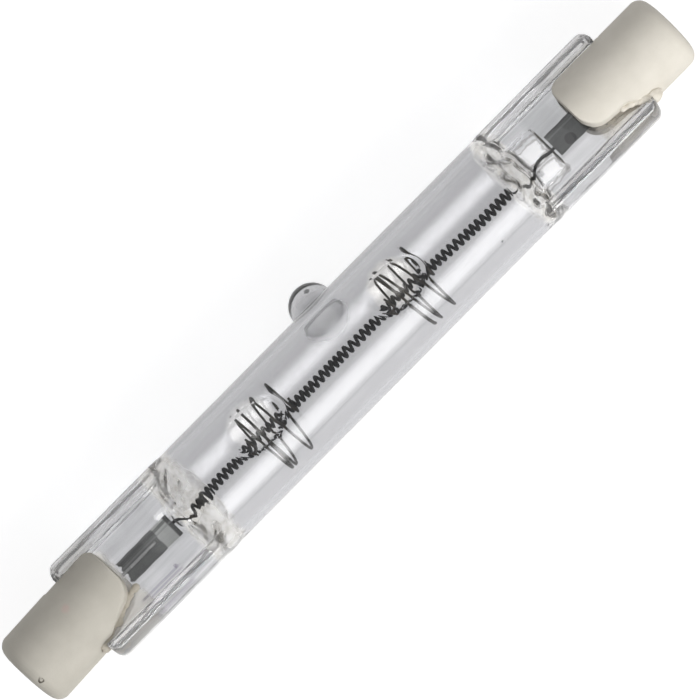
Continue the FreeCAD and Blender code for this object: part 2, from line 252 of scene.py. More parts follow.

# Thin films of cement left on the glass beside the tongues, with their tint and clearness; they also lighten
# the shaded parts of the tongues seen through the glass, as painted light
CEMENT_FILMS_AND_PAINTED_LIGHT = (
    (Patch(-31.6, -26.9, -3.3, -2.0), (0.80, 0.78, 0.74), 0.5),
    (Patch(-28.4, -27.35, -1.9, 2.7), (0.80, 0.78, 0.74), 0.4),
    (Patch(28.4, 32.6, -3.2, -1.8), (0.70, 0.66, 0.59), 0.7),
)
film_edges = (Edge(0.5, 1.0, 0.3), Edge(0.35, 1.0, 0.3))

# Painted light and shade on the right pinch: its +y rim and the -y part of its web lighter, its -y rim and
# the +y part of its web darker, with their tint and strength
PAINTED_PINCH_LIGHT_AND_SHADE = (
    (Patch(21.5, 33.0, 3.75, 5.2), (0.88, 0.88, 0.89), 0.5),
    (Patch(21.5, 33.0, -5.2, -4.0), (0.42, 0.42, 0.43), 0.45),
    (Patch(24.2, 30.0, 0.9, 3.1), (0.37, 0.38, 0.385), 0.4),
    (Patch(24.2, 29.0, -3.1, -1.6), (0.72, 0.72, 0.73), 0.4),
)
painted_shading_edges = (Edge(0.6, 1.5, 0.5), Edge(0.3))

# A white patch beside the left leg, painted light where its gas pocket looks bright, and a scratch on the
# left pinch
painted_bright_patch = Patch(-21.6, -19.7, 1.1, 1.5)
painted_patch_edge = Edge(0.2, 0.6, 0.4)
scratch = Patch(-27.0, -23.3, -3.04, -2.9)
scratch_edges = (Edge(0.6), Edge(0.08, 1.5, 0.06))

# Both dents and the tip's nose, lighter or darker as painted light and shade, a bubble, the scratch's dark
# end, painted light above the tip, a painted dark reflection on the tip, and two specks
GLASS_MARKS_AND_PAINTED_LIGHT = (
    # Painted highlights on the dents, over a warm tint of deposit
    Mark((dent_places[0], 0.4, 4.5), 1.7, 2.4, 0.8, 0.3, (0.93, 0.92, 0.90), 0.95),
    Mark((dent_places[1], 0.4, 4.5), 1.7, 2.4, 0.8, 0.3, (0.90, 0.875, 0.82), 0.95),
    Mark((22.06, -1.4, 1.25), 0.2, 0.42, 0.5, 0.12, (0.25, 0.25, 0.255), 0.8),
    Mark((-23.3, -2.85, 1.25), 0.05, 0.32, 0.3, 0.3, (0.07, 0.05, 0.10), 0.85),
    # Painted shade on the tip's nose
    Mark(tip_start + tip_axis * (tip_centre_distance + 1.2), 1.2, 2.2, 0.5, 0.0, (0.6, 0.6, 0.61), 0.7),
    # Painted light: a lighter disc where the tip's mouth shows through the wall
    Mark((0.6, 2.4, 4.4), 0.8, 1.25, 0.5, 0.0, (0.66, 0.66, 0.67), 0.8),
    # Painted dark reflection on the tip
    Mark((1.06, 6.39, -1.10), 0.16, 0.34, 0.3, 0.15, (0.03, 0.03, 0.03), 0.9),
    Mark((15.64, -3.68, 3.39), 0.05, 0.17, 0.3, 0.1, (0.05, 0.05, 0.05), 0.85),
    Mark((-18.07, 4.6, 1.0), 0.12, 0.42, 0.3, 0.1, (0.05, 0.05, 0.05), 0.85),
)

# On the foils: a worn band and a dark one across the left, two lines along both, a dark spot on the right
FOIL_BANDS = (
    Band("X", -22.6, -21.4, Edge(0.2, 1.0, 0.2), (0.78, 0.80, 0.76), 0.92),
    Band("X", -21.25, -20.9, Edge(0.15), (0.035, 0.038, 0.036), 0.8),
    Band("Y", 0.68, 0.9, Edge(0.08, 2.0, 0.05), (0.035, 0.038, 0.036), 0.7),
    Band("Y", 0.32, 0.42, Edge(0.06, 2.0, 0.05), (0.33, 0.34, 0.33), 0.5),
)
FOIL_MARKS = (Mark((26.05, -0.9, 0.0), 0.45, 0.6, 0.6, 0.06, (0.012, 0.012, 0.012), 0.95),)

# A faint red smear and grime on the left cap
CERAMIC_MARKS = (
    Mark((-32.3, 0.8, 3.56), 0.1, 0.6, 0.4, 0.15, (0.70, 0.45, 0.42), 0.35),
    Mark((-32.2, -3.5, 0.9), 0.15, 0.9, 0.6, 0.3, (0.12, 0.10, 0.075), 0.8),
)


# Materials


def new_material(name, values):
    """Material with its node tree and its Principled shader, whose inputs get the values."""
    material = bpy.data.materials.new(name)
    material.use_nodes = True
    shader = material.node_tree.nodes["Principled BSDF"]
    for socket, value in values.items():
        shader.inputs[socket].default_value = value
    return material, material.node_tree, shader


def grey(level):
    return (level, level, level)


def object_place(tree):
    return tree.nodes.new("ShaderNodeTexCoord").outputs["Object"]


def noise_at(tree, place, grain, detail, roughness=0.5):
    """Outputs of a noise with grains of about that many millimetres."""
    noise = tree.nodes.new("ShaderNodeTexNoise")
    noise.inputs["Scale"].default_value = 1.0 / (grain * MM)
    noise.inputs["Detail"].default_value = detail
    noise.inputs["Roughness"].default_value = roughness
    tree.links.new(place, noise.inputs["Vector"])
    return noise.outputs


def object_noise(tree, grain, detail=4.0, roughness=0.55):
    """Grey noise on Object coordinates."""
    return noise_at(tree, object_place(tree), grain, detail, roughness)["Fac"]


def uneven_place(tree, grain, shift):
    """Object coordinates, pushed about by noise with that grain and shift in millimetres."""
    place = object_place(tree)
    push = tree.nodes.new("ShaderNodeVectorMath")
    push.operation = "MULTIPLY_ADD"
    push.inputs[1].default_value = [2 * shift * MM] * 3
    push.inputs[2].default_value = [-shift * MM] * 3
    total = tree.nodes.new("ShaderNodeVectorMath")
    total.operation = "ADD"
    tree.links.new(noise_at(tree, place, grain, 2.0)["Color"], push.inputs[0])
    tree.links.new(place, total.inputs[0])
    tree.links.new(push.outputs["Vector"], total.inputs[1])
    return total.outputs["Vector"]


def combined(tree, operation, first, second):
    """One factor from two, by a plain operation such as their product or the smaller of both."""
    node = tree.nodes.new("ShaderNodeMath")
    node.operation = operation
    tree.links.new(first, node.inputs[0])
    tree.links.new(second, node.inputs[1])
    return node.outputs["Value"]


def fade_in(tree, length, none_at, full_at):
    """Factor that goes smoothly from 0 to 1 between two lengths in millimetres."""
    fade = tree.nodes.new("ShaderNodeMapRange")
    fade.interpolation_type = "SMOOTHSTEP"
    fade.inputs["From Min"].default_value = none_at * MM
    fade.inputs["From Max"].default_value = full_at * MM
    tree.links.new(length, fade.inputs["Value"])
    return fade.outputs["Result"]


def spot(tree, centre, inner, outer, grain=0.5, shift=0.0):
    """Factor that is 1 inside a spot of the piece and fades to 0 at its outer radius, unevenly."""
    distance = tree.nodes.new("ShaderNodeVectorMath")
    distance.operation = "DISTANCE"
    distance.inputs[1].default_value = [c * MM for c in centre]
    tree.links.new(uneven_place(tree, grain, shift), distance.inputs[0])
    return fade_in(tree, distance.outputs["Value"], outer, inner)


def within(tree, axis, low, high, fade, grain=1.0, shift=0.0):
    """Factor that is 1 between two places on an axis of the piece and fades to 0 outside, unevenly."""
    split = tree.nodes.new("ShaderNodeSeparateXYZ")
    tree.links.new(uneven_place(tree, grain, shift), split.inputs["Vector"])
    above = fade_in(tree, split.outputs[axis], low - fade, low)
    below = fade_in(tree, split.outputs[axis], high + fade, high)
    return combined(tree, "MULTIPLY", above, below)


def on_patch(tree, area, along, across):
    """Factor that is 1 on a patch, with one kind of edge along the lamp and one across it."""
    lengthways = within(tree, "X", area.x_low, area.x_high, *along)
    sideways = within(tree, "Y", area.y_low, area.y_high, *across)
    return combined(tree, "MULTIPLY", lengthways, sideways)


def ramp(tree, factor, *stops):
    """Colour ramp of (position, colour) stops on a factor."""
    node = tree.nodes.new("ShaderNodeValToRGB")
    elements = node.color_ramp.elements
    for element, (position, colour) in zip(elements, (stops[0], stops[-1])):
        element.position = position
        element.color = (*colour, 1.0)
    for position, colour in stops[1:-1]:
        elements.new(position).color = (*colour, 1.0)
    tree.links.new(factor, node.inputs["Fac"])
    return node.outputs["Color"]


def lowered(tree, factor, level):
    """Clearness that falls from full to a level as the factor rises."""
    return ramp(tree, factor, (0.0, grey(1.0)), (1.0, grey(level)))


def blend(tree, factor, first, second):
    """Colour that goes from the first to the second with a factor."""
    mix = tree.nodes.new("ShaderNodeMix")
    mix.data_type = "RGBA"
    tree.links.new(factor, mix.inputs["Factor"])
    tree.links.new(first, mix.inputs["A"])
    tree.links.new(second, mix.inputs["B"])
    return mix.outputs["Result"]


def stain(tree, base, factor, colour, strength):
    """Base colour with a stain of another colour over it where the factor is high."""
    scaled = tree.nodes.new("ShaderNodeMath")
    scaled.operation = "MULTIPLY"
    scaled.inputs[1].default_value = strength
    mix = tree.nodes.new("ShaderNodeMix")
    mix.data_type = "RGBA"
    mix.inputs["B"].default_value = (*colour, 1.0)
    tree.links.new(factor, scaled.inputs[0])
    tree.links.new(scaled.outputs["Value"], mix.inputs["Factor"])
    tree.links.new(base, mix.inputs["A"])
    return mix.outputs["Result"]


def marked(tree, colour, marks):
    """Colour with each of the marks on it."""
    for mark in marks:
        factor = spot(tree, mark.centre, mark.inner, mark.outer, mark.grain, mark.shift)
        colour = stain(tree, colour, factor, mark.tint, mark.strength)
    return colour


def add_bump(tree, shader, height, strength, depth_mm):
    """Bump on a shader from a height."""
    bump = tree.nodes.new("ShaderNodeBump")
    bump.inputs["Strength"].default_value = strength
    bump.inputs["Distance"].default_value = depth_mm * MM
    tree.links.new(height, bump.inputs["Height"])
    tree.links.new(bump.outputs["Normal"], shader.inputs["Normal"])


def streaks(tree, across_mm, along_mm, *stops):
    """Colour in streaks that are drawn out along the lamp."""
    squeeze = tree.nodes.new("ShaderNodeMapping")
    squeeze.inputs["Scale"].default_value = (across_mm / along_mm, 1.0, 0.5)
    tree.links.new(object_place(tree), squeeze.inputs["Vector"])
    return ramp(tree, noise_at(tree, squeeze.outputs["Vector"], across_mm, 3.0)["Fac"], *stops)


def clear_quartz(name):
    """Smooth fused quartz without colour."""
    values = {"Base Color": (1.0, 1.0, 1.0, 1.0), "Roughness": 0.0, "IOR": 1.46, "Transmission Weight": 1.0}
    return new_material(name, values)


def bore_quartz():
    """Surface of the gas space: clear, with a white bloom where the exhaust tip was melted off."""
    material, tree, shader = clear_quartz("clear quartz")
    root = spot(tree, tip_start + tip_axis * bore_radius, 2.0, 2.7)
    tree.links.new(lowered(tree, root, 0.55), shader.inputs["Transmission Weight"])
    return material


def drawn_glass(tree, tube):
    """Colour of the glass: even on the tube, streaked where it was pressed flat, darker on the tube's far
    side as painted shade, paler under the caps as painted light.
    """
    even = streaks(tree, 2.0, 12.0, (0.35, (0.52, 0.52, 0.535)), (0.65, (0.56, 0.56, 0.575)))
    web = streaks(tree, 0.7, 9.0, (0.36, (0.39, 0.393, 0.405)), (0.64, (0.55, 0.553, 0.57)))
    # Paler streaks for the glass under the caps: painted light on the shaded ceramic seen through it
    pale = streaks(tree, 0.7, 9.0, (0.36, (0.72, 0.715, 0.705)), (0.64, (0.82, 0.82, 0.82)))
    rims = streaks(
        tree, 0.45, 7.0,
        (0.34, (0.44, 0.435, 0.425)),
        (0.46, (0.62, 0.62, 0.63)),
        (0.56, (0.70, 0.70, 0.71)),
        (0.66, (0.94, 0.94, 0.95)),
    )
    between_rims = within(tree, "Y", -rim_inner + 0.2, rim_inner - 0.2, 0.3)
    colour = blend(tree, tube, blend(tree, between_rims, rims, web), even)
    # Painted shade: the tube's far side, away from the key light, is darker
    thick = combined(tree, "MULTIPLY", tube, within(tree, "Y", *shaded_far_side, 0.5))
    colour = stain(tree, colour, thick, (0.38, 0.38, 0.39), 0.85)
    # Painted light: paler glass under the caps lightens the shaded ceramic seen through it
    bare = within(tree, "X", *bare_glass, *bare_edge)
    return blend(tree, bare, pale, colour)


def rim_clearness(tree, tube):
    """Clearness of the glass, which is full apart from the flat rims of the pinches."""
    whole = within(tree, "Y", -9.0, 9.0, 0.1)
    web = within(tree, "Y", -rim_inner, rim_inner, 0.2)
    flat = within(tree, "Z", -rim_half - 0.2, rim_half + 0.2, 0.2)
    rims = combined(tree, "MULTIPLY", combined(tree, "SUBTRACT", whole, web), flat)
    return combined(tree, "MAXIMUM", lowered(tree, rims, 0.8), tube)


def shoulder_zone(tree, end):
    """Factor that is 1 on the pressed shoulder of an end."""
    inner = end.shoulder + 0.4
    outer = end.shoulder + end.shoulder_length + end.cloud_reach
    low, high = sorted((end.side * inner, end.side * outer))
    return within(tree, "X", low, high, *shoulder_edge)


def painted_bright_cell(tree, colour, area):
    """Colour with a painted bright cell on it, where a gas pocket looks bright, in a painted dark outline.
    """
    cell = on_patch(tree, area, cell_edge, cell_edge)
    colour = stain(tree, colour, cell, (0.87, 0.87, 0.88), 0.95)
    outline = ramp(tree, cell, (0.0, grey(0.0)), (0.06, grey(1.0)), (0.4, grey(1.0)), (0.7, grey(0.0)))
    return stain(tree, colour, outline, (0.16, 0.15, 0.14), 0.75)


def smoky_quartz():
    """Outer surface of the used quartz: faintly grey, cloudy where it was pressed or smeared, with painted
    light and shade on parts of it.
    """
    material, tree, shader = clear_quartz("used quartz")
    tube = within(tree, "X", -LEFT.shoulder - 1.0, RIGHT.shoulder + 1.0, *tube_edge)
    colour = drawn_glass(tree, tube)
    clearness = rim_clearness(tree, tube)
    melted = spot(tree, tip_start + tip_axis * (tube_radius + 0.3), 2.0, 2.5)
    colour = stain(tree, colour, melted, (0.72, 0.72, 0.73), 0.8)
    clearness = combined(tree, "MINIMUM", clearness, lowered(tree, melted, 0.6))
    crinkles = object_noise(tree, 1.0, 1.5)
    wrinkled = ramp(tree, crinkles, (0.36, (0.70, 0.68, 0.64)), (0.58, (0.95, 0.945, 0.93)))
    over_coil = within(tree, "Y", *coil_strip, 0.4)
    coil_view = ramp(tree, over_coil, (0.0, grey(0.0)), (1.0, grey(0.97)))
    for end in ENDS:
        pressed = shoulder_zone(tree, end)
        colour = blend(tree, pressed, colour, wrinkled)
        cloudy = combined(tree, "MAXIMUM", lowered(tree, pressed, end.shoulder_clearness), coil_view)
        clearness = combined(tree, "MINIMUM", clearness, cloudy)
    # Cement films, which also lighten shade beside the tongues as painted light
    for area, tint, level in CEMENT_FILMS_AND_PAINTED_LIGHT:
        film_and_painted_light = on_patch(tree, area, *film_edges)
        colour = stain(tree, colour, film_and_painted_light, tint, 0.9)
        clearness = combined(tree, "MINIMUM", clearness, lowered(tree, film_and_painted_light, level))
    # Painted light and shade on the right pinch
    for area, tint, strength in PAINTED_PINCH_LIGHT_AND_SHADE:
        colour = stain(tree, colour, on_patch(tree, area, *painted_shading_edges), tint, strength)
    # Painted light on the bright cells, with painted dark outlines
    for area in PAINTED_BRIGHT_CELLS:
        colour = painted_bright_cell(tree, colour, area)
    # Painted light: a bright patch where the gas pocket beside the left leg looks bright
    white = on_patch(tree, painted_bright_patch, painted_patch_edge, painted_patch_edge)
    colour = stain(tree, colour, white, (0.97, 0.97, 0.98), 0.9)
    colour = stain(tree, colour, on_patch(tree, scratch, *scratch_edges), (0.20, 0.18, 0.23), 0.8)
    colour = marked(tree, colour, GLASS_MARKS_AND_PAINTED_LIGHT)
    tree.links.new(colour, shader.inputs["Base Color"])
    tree.links.new(clearness, shader.inputs["Transmission Weight"])
    return material


def blotched_metal(name, grain, dark, light, roughness, metallic):
    """Metal with blotches between a dark and a light stop of a ramp."""
    material, tree, shader = new_material(name, {"Metallic": metallic, "Roughness": roughness})
    colour = ramp(tree, object_noise(tree, grain), dark, light)
    tree.links.new(colour, shader.inputs["Base Color"])
    return material


def wire_material(name, dark, light, roughness, metallic):
    """Drawn wire, blotched between two greys."""
    return blotched_metal(name, 0.8, (0.35, dark), (0.7, light), roughness, metallic)


def contact_material():
    """Nickel button, lightly tarnished."""
    dark, light = (0.3, (0.42, 0.40, 0.36)), (0.7, (0.62, 0.60, 0.56))
    return blotched_metal("nickel contact", 0.9, dark, light, roughness=0.38, metallic=1.0)


def foil_material():
    """Molybdenum foil: grey, with a bright worn band and darker oxidised patches."""
    material, tree, shader = new_material("molybdenum foil", {"Metallic": 0.3, "Roughness": 0.5})
    colour = ramp(tree, object_noise(tree, 1.3), (0.3, (0.085, 0.092, 0.088)), (0.7, (0.16, 0.168, 0.16)))
    for band in FOIL_BANDS:
        factor = within(tree, band.axis, band.low, band.high, *band.edge)
        colour = stain(tree, colour, factor, band.tint, band.strength)
    tree.links.new(marked(tree, colour, FOIL_MARKS), shader.inputs["Base Color"])
    return material


def ceramic_material(name, dark, light):
    """Unglazed cream ceramic with fine pores, a chip, a faint smear and grime at the pinch."""
    material, tree, shader = new_material(name, {"Roughness": 0.62, "Specular IOR Level": 0.35})
    colour = ramp(tree, object_noise(tree, 2.2), (0.3, dark), (0.7, light))
    whole_chip = spot(tree, (-38.10, -1.90, 3.05), 0.24, 0.34, 0.3, 0.3)
    pale_middle = spot(tree, (-38.02, -1.82, 3.05), 0.14, 0.26, 0.3, 0.3)
    chip_edge = combined(tree, "SUBTRACT", whole_chip, pale_middle)
    colour = stain(tree, colour, chip_edge, (0.06, 0.045, 0.03), 0.9)
    tree.links.new(marked(tree, colour, CERAMIC_MARKS), shader.inputs["Base Color"])
    add_bump(tree, shader, object_noise(tree, 0.25, 6.0, 0.7), 0.35, 0.05)
    return material


def cement_material(name, dark, light):
    """Dried cement, grainy and blotched between two creams."""
    material, tree, shader = new_material(name, {"Roughness": 0.85})
    colour = ramp(tree, object_noise(tree, 0.6), (0.3, dark), (0.7, light))
    tree.links.new(colour, shader.inputs["Base Color"])
    add_bump(tree, shader, object_noise(tree, 0.2, 6.0, 0.7), 0.6, 0.08)
    return material


# Meshes


def linked(name, data):
    """Object of a mesh, light or camera, linked to the scene."""
    thing = bpy.data.objects.new(name, data)
    bpy.context.scene.collection.objects.link(thing)
    return thing


def place_piece(name, mesh, material, node):
    """Object of a finished mesh that stands for a CAD node and rides on the lamp."""
    mesh.name = name
    mesh.materials.clear()
    mesh.materials.append(material)
    piece = linked(name, mesh)
    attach(piece, "root")
    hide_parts(node)
    return piece


def finished(mesh, sharp_degrees=40.0):
    """Mesh in metres, smooth except over sharp edges."""
    mesh.transform(Matrix.Scale(MM, 4))
    mesh.shade_smooth()
    mesh.set_sharp_from_angle(angle=math.radians(sharp_degrees))
    return mesh


def mesh_of(name, points, faces):
    mesh = bpy.data.meshes.new(name)
    mesh.from_pydata([tuple(p) for p in points], [], faces)
    mesh.update()
    return mesh


def face_outwards(mesh, inside_out=False):
    """Turns a closed mesh's faces outwards, or all inwards."""
    work = bmesh.new()
    work.from_mesh(mesh)
    bmesh.ops.remove_doubles(work, verts=work.verts, dist=1e-5)
    bmesh.ops.recalc_face_normals(work, faces=work.faces)
    if inside_out:
        bmesh.ops.reverse_faces(work, faces=work.faces)
    work.to_mesh(mesh)
    work.free()
    return mesh


def evaluated(mesh, add_modifiers):
    """Copy of a mesh after modifiers that add_modifiers puts on a helper object."""
    helper = linked("helper", mesh)
    add_modifiers(helper)
    depsgraph = bpy.context.evaluated_depsgraph_get()
    result = bpy.data.meshes.new_from_object(helper.evaluated_get(depsgraph))
    bpy.data.objects.remove(helper)
    return result


def united(mesh, other):
    """Union of two closed meshes."""
    tool = linked("tool", other)

    def add_union(helper):
        union = helper.modifiers.new("union", "BOOLEAN")
        union.operation = "UNION"
        union.solver = "EXACT"
        union.object = tool

    result = evaluated(mesh, add_union)
    bpy.data.objects.remove(tool)
    return result


def joined(first, second):
    """One mesh of two separate surfaces."""
    work = bmesh.new()
    work.from_mesh(first)
    work.from_mesh(second)
    result = bpy.data.meshes.new("joined")
    work.to_mesh(result)
    work.free()
    return result


def ring_faces(rows, count):
    """Faces between rows of points, each row a closed ring."""
    faces = []
    for row in range(rows - 1):
        here, there = row * count, (row + 1) * count
        for k in range(count):
            following = (k + 1) % count
            faces.append((here + k, here + following, there + following, there + k))
    return faces


def lathe(name, profile, start, axis, sides=64):
    """Closed mesh of a profile (distance from the axis, height), turned round an axis from start."""
    across = axis.orthogonal().normalized()
    upward = axis.cross(across)
    points = []
    for radius, height in profile:
        for k in range(sides):
            angle = 2 * math.pi * k / sides
            spoke = across * math.cos(angle) + upward * math.sin(angle)
            points.append(start + axis * height + spoke * radius)
    faces = ring_faces(len(profile), sides)
    faces.append(tuple(range(sides)))
    faces.append(tuple(range((len(profile) - 1) * sides, len(profile) * sides)))
    return face_outwards(mesh_of(name, points, faces))


# Quartz envelope: half-sections along the lamp, each worked out as a height over its width


def ease(value, start, full):
    share = np.clip((value - start) / (full - start), 0.0, 1.0)
    return share * share * (3.0 - 2.0 * share)


def soft_min(a, b, reach):
    share = np.clip(0.5 + 0.5 * (b - a) / reach, 0.0, 1.0)
    return b + (a - b) * share - reach * share * (1.0 - share)


def soft_max(a, b, reach):
    return -soft_min(-a, -b, reach)


def by_end(x, value):
    """Value of the end that each x belongs to."""
    return np.where(x < 0, getattr(LEFT, value), getattr(RIGHT, value))


def stations(start, stop):
    """Places of the sections along x, closer together where the shape changes fast."""
    places = [start]
    while places[-1] < stop:
        x = places[-1]
        end = LEFT if x < 0 else RIGHT
        at = abs(x)
        step = plain_step
        if min(abs(x - place) for place in (*dent_places, tip_x)) < dent_zone:
            step = dent_step
        if end.shoulder - 1.0 < at < end.shoulder + end.shoulder_length + 1.2:
            step = shoulder_step
        if at > end.pinch_end - 1.2 or x - start < 1.0 or stop - x < 1.0:
            step = end_step
        places.append(min(x + step, stop))
    return np.array(places)[:, None]


def section_angles():
    """Angles round a half-section, closer together over the inner walls of the rims."""
    first, last = rim_wall_angles
    angles = [0.0]
    while angles[-1] < 180.0:
        over_wall = first < angles[-1] < last or first < 180.0 - angles[-1] < last
        angles.append(min(angles[-1] + (rim_wall_step if over_wall else round_step), 180.0))
    return np.radians(np.array(angles))[None, :]


def loft(name, x, y, top, bottom):
    """Closed mesh through sections with the same edge points and their own top and bottom heights."""
    rows, count = y.shape
    ring = 2 * count - 2
    upper = np.stack([x, y, top], axis=2)
    lower = np.stack([x, y, -bottom], axis=2)[:, count - 2:0:-1]
    points = np.concatenate([upper, lower], axis=1).reshape(-1, 3)
    faces = ring_faces(rows, ring)
    for row in (0, rows - 1):
        base = row * ring
        for k in range(count - 1):
            below = [(ring - i) % ring if 0 < i < count - 1 else i for i in (k, k + 1)]
            corners = [base + k, base + k + 1, base + below[1], base + below[0]]
            faces.append(tuple(dict.fromkeys(corners)))
    return mesh_of(name, points, faces)


def corner_width(width, to_end, radius):
    """Half-width that is rounded off towards an end."""
    near = np.clip(to_end, 0.0, radius)
    return width - radius + np.sqrt(radius ** 2 - (radius - near) ** 2)


def closed_edges(height):
    """Heights that are 0 at both edges, where the upper and the lower half meet."""
    height[:, 0] = 0.0
    height[:, -1] = 0.0
    return height


def shoulder_waver(x, y, turn):
    """Uneven line of a pressed shoulder across the lamp."""
    phase = np.where(x < 0, 0.4, 2.1) + turn
    bow = shoulder_bow * (0.4 - (y / tube_radius) ** 2)
    crinkle = np.sin(3.1 * x + 2.0 * y + phase) + np.sin(4.1 * y - 2.3 * x) + np.sin(4.4 * x - 3.3 * y + 1.0)
    long_waver, short_waver = shoulder_wavers
    waver = long_waver * np.sin(1.1 * y + phase) + short_waver * np.sin(2.9 * y + 2.3 * phase)
    beside_coil = 1.0 - np.exp(-((y - smooth_strip_y) / smooth_strip_half) ** 2)
    return bow + waver + shoulder_crinkle * crinkle * beside_coil


def pressed_dents(x, y, height, radius):
    """Height of the tube's top with the two dents pressed into it."""
    middle = tube_radius + dent_radius - dent_depth
    for place in dent_places:
        inside = radius ** 2 - ((x - place) / dent_stretch) ** 2 - y ** 2
        nose = middle - np.sqrt(np.clip(inside, 0.0, None))
        height = soft_min(height, nose, dent_lip)
    return height


def drawn_in(x, y):
    """Shallow hollow that the sealing of the tip left in the tube's side above it."""
    along = (x - tip_x) / tip_pull_half_length
    across = (y - tip_pull_y) / tip_pull_half_breadth
    return tip_pull * np.exp(-along ** 2 - across ** 2)


def outside_height(x, y, width, turn):
    """Half-height of the outside: round tube, shoulders, flat web and thick rims."""
    at = np.abs(x)
    shoulder = by_end(x, "shoulder")
    circle = np.sqrt(np.clip(tube_radius ** 2 - y ** 2, 0.0, None))
    length = by_end(x, "shoulder_length")
    slope = (tube_radius - web_half) / length
    wedge = web_half + slope * (shoulder + length - at + shoulder_waver(x, y, turn))
    rise = ease(np.abs(y), rim_inner, rim_inner + rim_draft)
    ripple = rim_ripple * np.sin(2 * np.pi * y / rim_ripple_pitch + 0.5 * np.sin(0.7 * x + turn))
    wave = web_wave * np.sin(1.3 * x + turn) * np.sin(1.1 * y + 0.4 * x)
    flat = web_half + wave + (rim_half - web_half + ripple) * rise
    edge = np.clip((np.abs(y) - width + rim_edge) / rim_edge, 0.0, 1.0)
    flat = flat * np.sqrt(1.0 - edge ** 2) * ease(at, shoulder - 1.5, shoulder + 1.0)
    room = 1.0 - (np.abs(y) / width) ** 12 + 1e-6
    height = soft_max(soft_min(circle, wedge, shoulder_blend * room), flat, rim_blend * room)
    return np.clip(closed_edges(height), 0.0, None)


def envelope_outside():
    """Outer surface of tube and flattened ends."""
    x = stations(-LEFT.pinch_end, RIGHT.pinch_end)
    at = np.abs(x)
    shoulder = by_end(x, "shoulder")
    width = tube_radius + (pinch_half_width - tube_radius) * ease(at, shoulder, shoulder + pinch_widening)
    width = width - notch_depth * np.exp(-((at - shoulder - notch_at) / notch_length) ** 2)
    width = corner_width(width, by_end(x, "pinch_end") - at, pinch_corner_round)
    y = width * np.cos(section_angles())
    x = np.broadcast_to(x, y.shape)
    top = outside_height(x, y, width, 0.0)
    waves = np.sin(0.52 * x + 0.5 * y) * np.sin(0.23 * x - 0.3 * y + 1.0) * ease(top, rim_half, tube_radius)
    top = pressed_dents(x, y, top - drawn_in(x, y) - tube_wave * (1.0 + waves), dent_radius)
    top = closed_edges(top)
    bottom = outside_height(x, y, width, underside_turn)
    pinch_end = by_end(x, "pinch_end")
    slide = by_end(x, "skew") * ease(np.abs(x), pinch_end - skew_length, pinch_end) * y / pinch_half_width
    return face_outwards(loft("outside", x - np.sign(x) * slide, y, top, bottom))


def envelope_cavity():
    """Surface of the gas space: bore, walls that follow the shoulders, flat pocket round each leg."""
    x = stations(-(LEFT.foil_inner - pocket_to_foil), RIGHT.foil_inner - pocket_to_foil)
    at = np.abs(x)
    shoulder = by_end(x, "shoulder")
    length = by_end(x, "shoulder_length")
    foot = shoulder + length
    pocket_end = by_end(x, "foil_inner") - pocket_to_foil
    pocket_half = by_end(x, "pocket_half")
    width = bore_radius + (pocket_half - bore_radius) * ease(at, foot - 0.5, foot + 0.15)
    width = width + pocket_wave * np.sin(2.6 * x) * ease(at, foot, foot + 0.6)
    width = corner_width(width, pocket_end - at, pocket_round)
    across = np.cos(section_angles())
    y = width * across
    x = np.broadcast_to(x, y.shape)
    closing = np.clip((at - pocket_end + pocket_closing) / pocket_closing, 0.0, 1.0)
    pocket = pocket_mouth_half + (pocket_tail_half - pocket_mouth_half) * ease(at, foot, pocket_end)
    pocket = pocket * np.sqrt(1.0 - closing ** 2) * ease(at, shoulder, foot - 0.4)
    pocket = pocket * np.sqrt(np.clip(1.0 - np.abs(y / pocket_half) ** 5, 0.0, None))
    slope = (tube_radius - web_half) / length
    wall = (tube_radius - bore_radius) * np.sqrt(1.0 + slope ** 2)
    circle = np.sqrt(np.clip(bore_radius ** 2 - y ** 2, 0.0, None))
    room = 1.0 - np.abs(across) ** 12 + 1e-6
    halves = []
    for turn in (0.0, underside_turn):
        wedge = web_half - wall + slope * (foot - at + shoulder_waver(x, y, turn))
        half = soft_min(circle, np.clip(wedge, 0.0, None), shoulder_inside_blend * room)
        half = soft_max(half, pocket, pocket_blend * room)
        halves.append(closed_edges(np.clip(half, least_gap * np.sqrt(1.0 - across ** 2), None)))
    top = pressed_dents(x, y, halves[0], dent_radius + tube_radius - bore_radius)
    return face_outwards(loft("cavity", x, y, closed_edges(top), halves[1]))


def tip_drop():
    """Drop of glass where the exhaust tube was sealed off."""
    profile = []
    for share in np.linspace(0.0, 1.0, 9):
        height = tip_root_distance + (tip_centre_distance - tip_root_distance - tip_neck) * share
        profile.append((tip_radius + tip_foot * (1.0 - share) ** 2, height))
    for k in range(24):
        rise = math.pi / 2 * k / 24
        height = tip_centre_distance + tip_radius * math.sin(rise)
        profile.append((tip_radius * math.cos(rise), height))
    profile.append((0.02, tip_centre_distance + tip_radius))
    return lathe("tip", profile, tip_start, tip_axis)


def tip_hollow():
    """Closed hollow of the drop: thin-walled at its foot, which follows the tube, thicker at the nose."""
    profile = [(radius * tip_hollow_radius, tube_radius) for radius in (0.005, 0.25, 0.5, 0.75, 0.9, 0.99)]
    for k in range(17):
        turn = math.pi / 2 * k / 16
        nose = (tip_hollow_nose - tip_centre_distance) * math.sin(turn)
        profile.append((max(tip_hollow_radius * math.cos(turn), 0.01), tip_centre_distance + nose))
    mesh = lathe("tip hollow", profile, tip_start, tip_axis)
    round_tube = tip_axis.cross(Vector((1.0, 0.0, 0.0)))
    for vertex in mesh.vertices:
        place = vertex.co - tip_start
        if place.dot(tip_axis) < tube_radius + 0.01:
            beside = place.dot(round_tube)
            vertex.co -= tip_axis * (tube_radius - math.sqrt(tube_radius ** 2 - beside ** 2))
    return mesh


